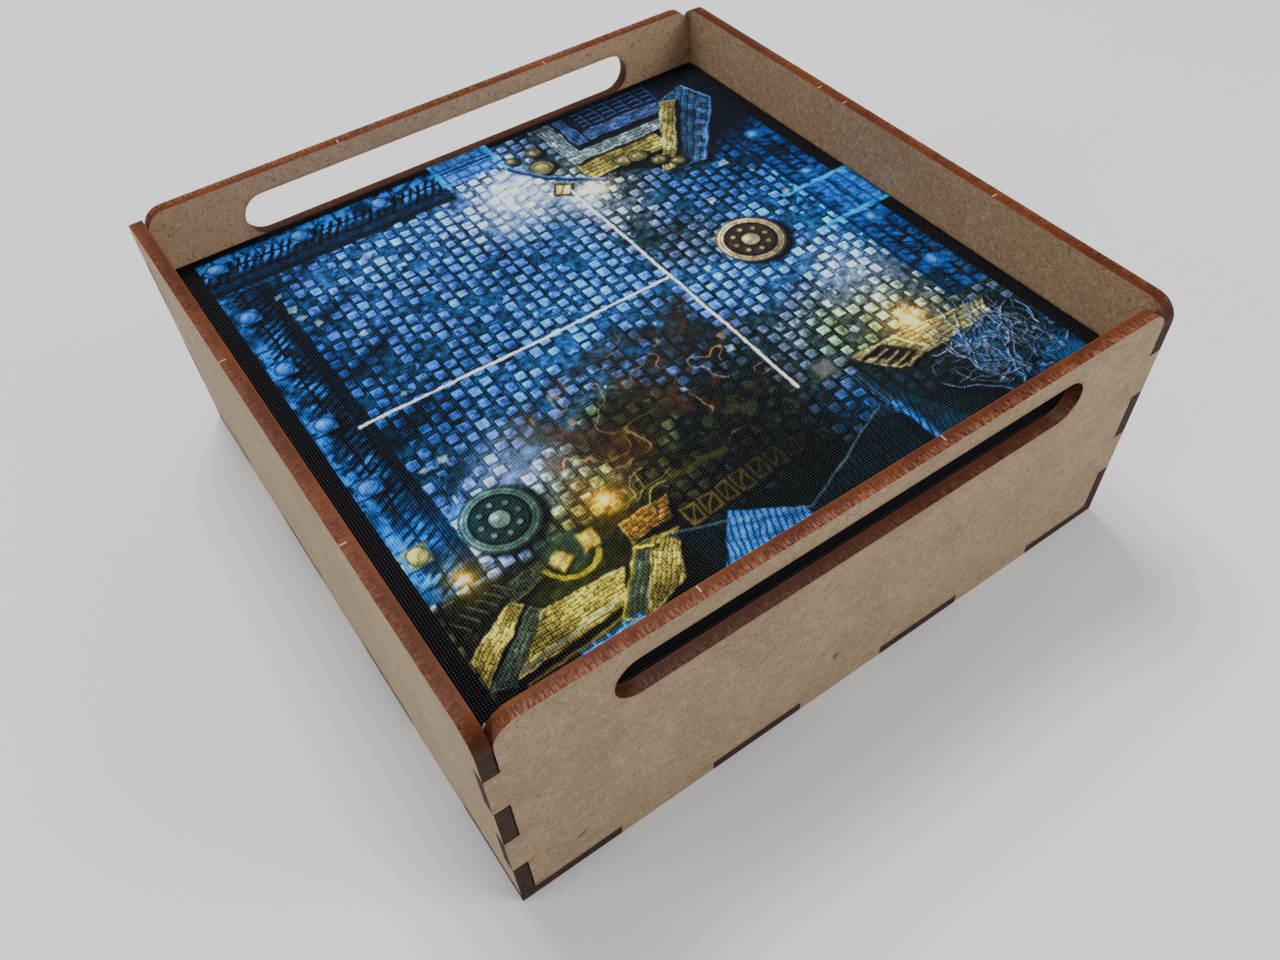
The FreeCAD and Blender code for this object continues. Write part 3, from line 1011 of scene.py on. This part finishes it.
def front_right(p):
    """Timber ledge with a brazier, and brambles over the near right corner."""
    p = p.view(18, PRINT_RIGHT + 1, PRINT_FRONT - 1, -34)
    ground = [(30, -70), (PRINT_RIGHT, -70), (PRINT_RIGHT, -50), (64, -44), (28, -41.5)]
    p.lay((20, 24, 26), p.patch(ground, 1.2) * 0.75)
    ledge = [(36, -50), (64, -49), (64.5, -44.5), (37, -41.5), (29.5, -41)]
    tiled(p, ledge, -2, (138, 134, 98), 1.3, 4.5)
    p.lay((22, 24, 24), p.patch([(32.5, -43), (38.5, -49.5), (43, -48.5), (38, -42)], 0.5) * 0.9)
    beams(p, (31.5, -43), (38, -50.5), 5, (4.6, 0.9), (112, 106, 84), 0.6)
    p.lay((176, 172, 140), p.stroke([(41.5, -42), (45, -48.5)], 0.8) * 0.7)
    tangle = p.block(50, PRINT_RIGHT, PRINT_FRONT, -50, 2)
    p.lay((36, 88, 136), tangle * p.patchy(0.35, 0.65, 4, 163) * 0.75)
    p.lay((150, 178, 210), tangle * p.patchy(0.62, 0.74, 1.4, 165, 3) * 0.6)
    p.lay((10, 16, 24), tangle * p.patchy(0.42, 0.3, 1.8, 167, 3) * 0.7)
    p.lay((60, 62, 60), p.block(20.4, 26.4, -43.2, -37.6, 0.3) * 0.9)
    p.lay((108, 112, 108), p.block(21.2, 25.6, -42.4, -38.4, 0.3) * 0.6)
    branches(p, random.Random(5), 90, (49, -68), (21, 18), (180, 204, 240))


def rubbish(p):
    """Scraps of pale paper and small rubble on the ground."""
    chance = random.Random(9)
    spots = [(-58.5, 51), (-58, 45), (-57, 41), (-55, 37.5), (-49.5, 6), (-56.5, -15.5), (-52, -15),
             (52.5, 31), (56.5, 23.5), (57.5, 12), (-48.5, 28), (41, 20), (36.5, -35.5), (52, -21),
             (28, 26), (12, -24), (-3, -28), (-36, 52)]
    for spot in spots:
        part = p.around(spot, 4)
        size = 0.8 + 0.9 * chance.random()
        turn = math.tau * chance.random()
        corners = polygon(spot, turn, [size * (0.7 + 0.6 * chance.random()) for _ in range(4)])
        part.lay((12, 18, 24), part.patch(moved(corners, 0.4, -0.5)) * 0.6)
        part.lay((150, 172, 180), part.patch(corners) * 0.75)


def brush_marks(p):
    """Uneven paint over the whole picture."""
    along = p.true_x * 0.8 + p.true_y * 0.6
    across = (p.true_y * 0.8 - p.true_x * 0.6) * 2.4
    strokes = cloudy(along, across, 2.2, 191, 3)
    specks = value_noise(p.true_x, p.true_y, 0.45, 193)
    p.shade((0.62 + 0.5 * strokes + 0.28 * specks).astype(np.float32))


def ink(p):
    """Strong colours and deep shadows, as printed."""
    grey = p.rgb.mean(axis=-1, keepdims=True)
    p.rgb += (p.rgb - grey) * SATURATION
    p.rgb += (p.rgb - 64) * CONTRAST
    blue = ramp(0.1, 0.4, (p.rgb[..., 2] - p.rgb[..., 0]) / (p.rgb[..., 2] + 30))
    tilt = (blue * (grey[..., 0] - 80))[..., None]
    p.rgb += tilt * np.array((0.04, -0.06, 0.1), np.float32)
    p.rgb += np.maximum(p.rgb - 120, 0) * (0.42 - 0.34 * blue)[..., None]
    p.rgb.clip(2, 255, out=p.rgb)


def painted_t(p):
    """White T painted over the cobbles with a rough brush."""
    p = p.exact()
    rough = 0.5 * (p.cloud(1.1, 171, 3) - 0.5)
    sway = 0.5 * (value_noise(p.x, p.y, 9, 173) - 0.5)
    level = np.abs(p.y - 2.7 - sway) + rough
    upright = np.abs(p.x - 15.9 - sway) + rough
    level_mask = ramp(0.52, 0.22, level) * ramp(-61.9, -61.4, p.x) * ramp(16, 15.4, p.x)
    upright_mask = ramp(0.52, 0.22, upright) * ramp(-42, -41.4, p.y) * ramp(45, 44.2, p.y)
    p.lay((255, 255, 255), np.maximum(level_mask, upright_mask))


def lamps(p):
    """Small flames and the light round them."""
    for place, size in (((-62.3, -42.2), 0.8), ((-32.4, -42.2), 1), ((48, -39.8), 1.1)):
        p.glow((70, 54, 16), place, 6.5 * size)
        p.glow((150, 110, 46), place, 2 * size)
        part = p.around(place, 3)
        part.lay((255, 246, 205), part.disc(place, 0.7 * size, 0.7))
    p.glow((22, 22, 6), (-46, -57), 13)
    p.glow((14, 32, 50), (-64.5, -31), 9)
    part = p.around((48, -39), 8)
    flames = part.disc((48, -39), 4.4, 2) * part.patchy(0.52, 0.62, 2, 181, 3)
    part.lay((232, 166, 96), flames * 0.85)


def border(p):
    """Black margin, crossed only by the two gateways."""
    p = p.exact()
    inside = p.block(PRINT_LEFT, PRINT_RIGHT, PRINT_FRONT, PRINT_BACK, 0.2)
    ways = np.maximum(p.block(-8.2, 9, 60, 76, 0.2), p.block(60, 76, -5.2, 11.2, 0.2))
    outside = 1 - np.maximum(inside, ways)
    p.lay((6, 6, 9), outside)


def paint(x, y):
    """The whole picture, as display values from 0 to 1."""
    p = Print(x, y)
    broad_tones(p)
    cobbles(p)
    long_shadows(p)
    mud(p)
    mist(p)
    right_strip(p)
    railings(p, along_back=False)
    railings(p, along_back=True)
    for way in GATEWAYS:
        gateway(p, *way)
    far_house(p)
    cart(p)
    medallion(p, (38.7, 2.3), 8.3, (158, 148, 124), (54, 46, 42), (150, 142, 120))
    lamp_lit_walls(p)
    stone_seat(p)
    crates(p)
    front_roofs(p)
    front_right(p)
    medallion(p, (-50.5, -34.5), 7.9, (84, 108, 104), (34, 48, 50), (112, 130, 124))
    rubbish(p)
    lamps(p)
    brush_marks(p)
    ink(p)
    painted_t(p)
    border(p)
    return np.clip(p.rgb / 255, 0, 1)


# ---- mat
# A thin woven cloth, printed and bonded to a black foam backing, lying loose on the false floor.

WEAVE = 0.576    # one woven cell of the cloth
CLOTH_CELL = 0.25    # spacing of the cloth's points, which carry the print
CLOTH_LIE = 0.16    # how far the cloth is from flat
CLOTH_ROLL = 0.22    # how far its edge sinks
MAT_CORNER = 1.0
FOAM_TOP = cloth_low.z + 0.02
FOAM_BULGE = 0.18
# painted sheen, added to the print on the crown of each woven cell
THREAD_SHEEN = srgb(150, 150, 165)
THREAD_GAP = srgb(4, 4, 7)


def mesh_object(name, vertices, faces, smooth=True):
    mesh = bpy.data.meshes.new(name)
    mesh.from_pydata(vertices, [], faces)
    mesh.update()
    mesh.polygons.foreach_set("use_smooth", [smooth] * len(mesh.polygons))
    made = bpy.data.objects.new(name, mesh)
    bpy.context.scene.collection.objects.link(made)
    return made


def grid_object(name, x, y, z):
    """A smooth surface through a grid of points in millimetres."""
    rows, columns = x.shape
    first = (np.arange(rows - 1)[:, None] * columns + np.arange(columns - 1)).ravel()
    faces = np.column_stack((first, first + 1, first + columns + 1, first + columns))
    return mesh_object(name, np.column_stack((x.ravel(), y.ravel(), z.ravel())) * MM, faces.tolist())


def skin(rings, around):
    """Faces of a closed tube: rings of around points each, joined up, and two flat ends."""
    faces = [tuple(reversed(range(around)))]
    for ring in range(rings - 1):
        for step in range(around):
            a, b = ring * around + step, ring * around + (step + 1) % around
            faces.append((a, b, b + around, a + around))
    faces.append(tuple(range((rings - 1) * around, rings * around)))
    return faces


def rounded_corners(x, y, half):
    """Draw the corners of a square grid in to a rounded square."""
    over = [np.clip((np.abs(side) - half) / MAT_CORNER + 1, 0, None) for side in (x, y)]
    away = np.maximum(np.hypot(*over), 1e-6)
    pull = np.where(np.minimum(*over) > 0, np.maximum(*over) / away, 1.0)
    drawn = []
    for side, reach in zip((x, y), over):
        moved_to = np.sign(side) * (half - MAT_CORNER + reach * pull * MAT_CORNER)
        drawn.append(np.where(reach > 0, moved_to, side))
    return drawn


def cloth_finish():
    """Printed picture on a plain weave, with a painted sheen on the thread crown in each cell."""
    f = Finish("printed_cloth")
    x, y, z = f.parts(f.place)
    picture = f.tree.nodes.new("ShaderNodeAttribute")
    picture.attribute_name = "print"
    wave = (x * (math.tau / WEAVE)).math("COSINE") + (y * (math.tau / WEAVE)).math("COSINE")
    uneven = f.noise(1.6)
    # painted sheen on the crown of each woven cell, fading into painted shade along the front wall,
    # which shades the cloth
    crown_sheen = wave.rise(1.0, 1.9) * (uneven * 0.9 + 0.2) * (y.rise(-74.5, -71.5) * 0.8 + 0.2)
    picture_with_sheen = f.mix(crown_sheen * 0.36, picture.outputs["Color"], THREAD_SHEEN, "ADD")
    paint_depth = Value(f.tree, picture.outputs["Fac"]).rise(0.75, 0.25)
    gaps = wave.rise(0.2, -1.6) * (paint_depth * 0.5 + 0.1)
    f.colour(f.mix(gaps, picture_with_sheen, THREAD_GAP))
    f.roughness(crown_sheen * -0.3 + 0.75)
    f.bump(wave + uneven * 0.5, 0.05)
    f.shader.inputs["Specular IOR Level"].default_value = 0.06
    return f.material


def rubber_finish():
    """Black foam rubber."""
    return grainy("foam_rubber", (3.0, 3.0, 0.7), srgb(9, 9, 10), srgb(24, 24, 26), 0.08)


def linear(display):
    """Linear colour from display values of 0 to 1."""
    return np.where(display <= 0.04045, display / 12.92, ((display + 0.055) / 1.055) ** 2.4)


def printed_cloth():
    cells = round(2 * MAT_HALF / CLOTH_CELL)
    ticks = np.linspace(-MAT_HALF, MAT_HALF, cells + 1)
    x, y = np.meshgrid(ticks, ticks)
    picture = linear(paint(x, y))
    shape_x, shape_y = rounded_corners(x, y, MAT_HALF)
    edge = MAT_HALF - np.maximum(np.abs(x), np.abs(y))
    lie = CLOTH_LIE * (cloudy(x, y, 30.0, 201, 2) - 0.5)
    roll = CLOTH_ROLL * ramp(0.8, 0.0, edge)
    z = MAT_TOP + lie - roll
    # turn the outermost points down to the foam
    z = np.where(edge < CLOTH_CELL / 2, FOAM_TOP, z)
    cloth = grid_object("printed_cloth", shape_x, shape_y, z)
    colours = np.ones((x.size, 4), np.float32)
    colours[:, :3] = picture.reshape(-1, 3)
    attribute = cloth.data.color_attributes.new("print", "FLOAT_COLOR", "POINT")
    attribute.data.foreach_set("color", colours.ravel())
    cloth.data.materials.append(cloth_finish())
    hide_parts("mat_cloth_face")
    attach(cloth, "mat")


def rounded_square(half, corner, steps):
    """Points round a square with rounded corners, counterclockwise."""
    points = []
    for quarter in range(4):
        turn = math.pi / 2 * quarter
        centre = Vector((half - corner, half - corner))
        centre.rotate(Matrix.Rotation(turn, 2))
        for step in range(steps + 1):
            angle = turn + math.pi / 2 * step / steps
            points.append((centre.x + corner * math.cos(angle), centre.y + corner * math.sin(angle)))
    return points


def foam_backing():
    """Foam slab with softly bulging sides and faintly rounded arrises."""
    profile = []
    for step in range(9):
        share = step / 8
        bulge = math.sin(math.pi * share) ** 0.5
        height = rubber_low.z + (FOAM_TOP - rubber_low.z) * share
        profile.append((height, FOAM_BULGE * (1 - bulge)))
    vertices = []
    for z, inset in profile:
        for px, py in rounded_square(MAT_HALF - inset, MAT_CORNER, 6):
            vertices.append((px * MM, py * MM, z * MM))
    faces = skin(len(profile), len(vertices) // len(profile))
    foam = mesh_object("mat_foam", vertices, faces, smooth=False)
    foam.data.materials.append(rubber_finish())
    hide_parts("mat_rubber_base")
    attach(foam, "mat")


printed_cloth()
foam_backing()


# ---- traces of making
# Stubs of the little tabs that held each panel in its sheet, left on the rims, and a bead of
# glue in the near left corner.

STUB_WIDTH = 0.36
STUB_LENGTH = 1.5
STUB_HEIGHT = 0.07


def stub(place, direction):
    """Points of a low ridge: four rings of four."""
    side = Vector((-direction[1], direction[0])) * STUB_WIDTH / 2
    vertices = []
    for share, width, height in ((0, 0.7, 0.5), (0.15, 1.0, 1.0), (0.8, 1.0, 0.9), (1.0, 0.5, 0.3)):
        middle = Vector(place) + Vector(direction) * STUB_LENGTH * share
        for offset, lift in ((-1.0, -0.4), (-0.5, 1.0), (0.5, 1.0), (1.0, -0.4)):
            point = middle + side * offset * width
            vertices.append((point.x * MM, point.y * MM, (RIM + STUB_HEIGHT * lift * height) * MM))
    return vertices


def stub_finish():
    """Bare light fibres."""
    return grainy("torn_fibre", (2.5, 2.0, 0.6), srgb(170, 138, 106), srgb(212, 184, 148), 0.03)


def tab_stubs():
    ridges = [((-HALF_OUT + 0.1, y), (1, 0)) for y in (20.5, -34.7)]
    ridges += [((x, -HALF_IN - 0.1), (0, -1)) for x in (-36.4, 17.3)]
    ridges += [((HALF_IN + 0.1, y), (1, 0)) for y in (24.0, 15.0, -33.0)]
    ridges += [((x, HALF_IN + 0.1), (0, 1)) for x in (-28.0, 30.0)]
    vertices, faces = [], []
    for place, direction in ridges:
        faces += [[index + len(vertices) for index in face] for face in skin(4, 4)]
        vertices += stub(place, direction)
    stubs = mesh_object("tab_stubs", vertices, faces, smooth=False)
    stubs.data.materials.append(stub_finish())
    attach(stubs, "box")


def glue_finish():
    """Dried wood glue: milky, a little glossy."""
    f = Finish("dried_glue")
    cloud = f.noise(1.4)
    f.colour(f.mix(cloud, srgb(150, 128, 112), srgb(214, 206, 198)))
    f.roughness(cloud * 0.2 + 0.2)
    f.bump(cloud, 0.05)
    return f.material


def glue_bead():
    """Glue squeezed out where the front wall's rounded corner meets the left wall."""
    chance = random.Random(12)
    rings, around = 8, 12
    vertices = []
    foot, top = Vector((-75.9, -76.0, 58.2)), Vector((-75.3, -76.1, 61.6))
    for ring in range(rings):
        share = ring / (rings - 1)
        middle = foot.lerp(top, share)
        size = 0.55 * math.sin(math.pi * (0.06 + 0.88 * share)) ** 0.7
        for step in range(around):
            angle = math.tau * step / around
            wobble = size * (0.85 + 0.3 * chance.random())
            point = middle + Vector((math.cos(angle), 0.7 * math.sin(angle), 0)) * wobble
            vertices.append(point * MM)
    bead = mesh_object("glue_bead", vertices, skin(rings, around))
    bead.data.materials.append(glue_finish())
    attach(bead, "box")


tab_stubs()
glue_bead()


# ---- floor and light

def make_floor():
    f = Finish("studio_floor")
    tone = f.noise(0.01)
    f.colour(f.mix(tone, (0.86, 0.86, 0.86), (0.9, 0.9, 0.9)))
    f.shader.inputs["Roughness"].default_value = 0.8
    reach = 3.0
    corners = [(-reach, -reach, 0), (reach, -reach, 0), (reach, reach, 0), (-reach, reach, 0)]
    floor = mesh_object("studio_floor", corners, [(0, 1, 2, 3)], smooth=False)
    floor.data.materials.append(f.material)


def area_light(name, place, target, width, height, power):
    data = bpy.data.lights.new(name, "AREA")
    data.shape = "RECTANGLE"
    data.size = width
    data.size_y = height
    data.energy = power
    lamp = bpy.data.objects.new(name, data)
    bpy.context.scene.collection.objects.link(lamp)
    lamp.location = place
    lamp.rotation_euler = (Vector(target) - Vector(place)).to_track_quat("-Z", "Y").to_euler()


def soft_surroundings(strength):
    world = bpy.data.worlds.new("surroundings")
    world.use_nodes = True
    background = world.node_tree.nodes["Background"]
    background.inputs["Color"].default_value = (0.93, 0.96, 1.0, 1.0)
    background.inputs["Strength"].default_value = strength
    bpy.context.scene.world = world


make_floor()
soft_surroundings(0.36)
area_light("softbox_behind", (0.035, 0.36, 0.84), (-0.07, -0.07, 0.06), 0.34, 0.32, 6.5)
area_light("softbox_front_right", (0.4, -0.5, 0.4), (0.03, 0, 0.03), 0.36, 0.36, 2.7)
area_light("softbox_left", (-0.8, 0.15, 0.35), (0, 0, 0.03), 0.5, 0.5, 3.3)
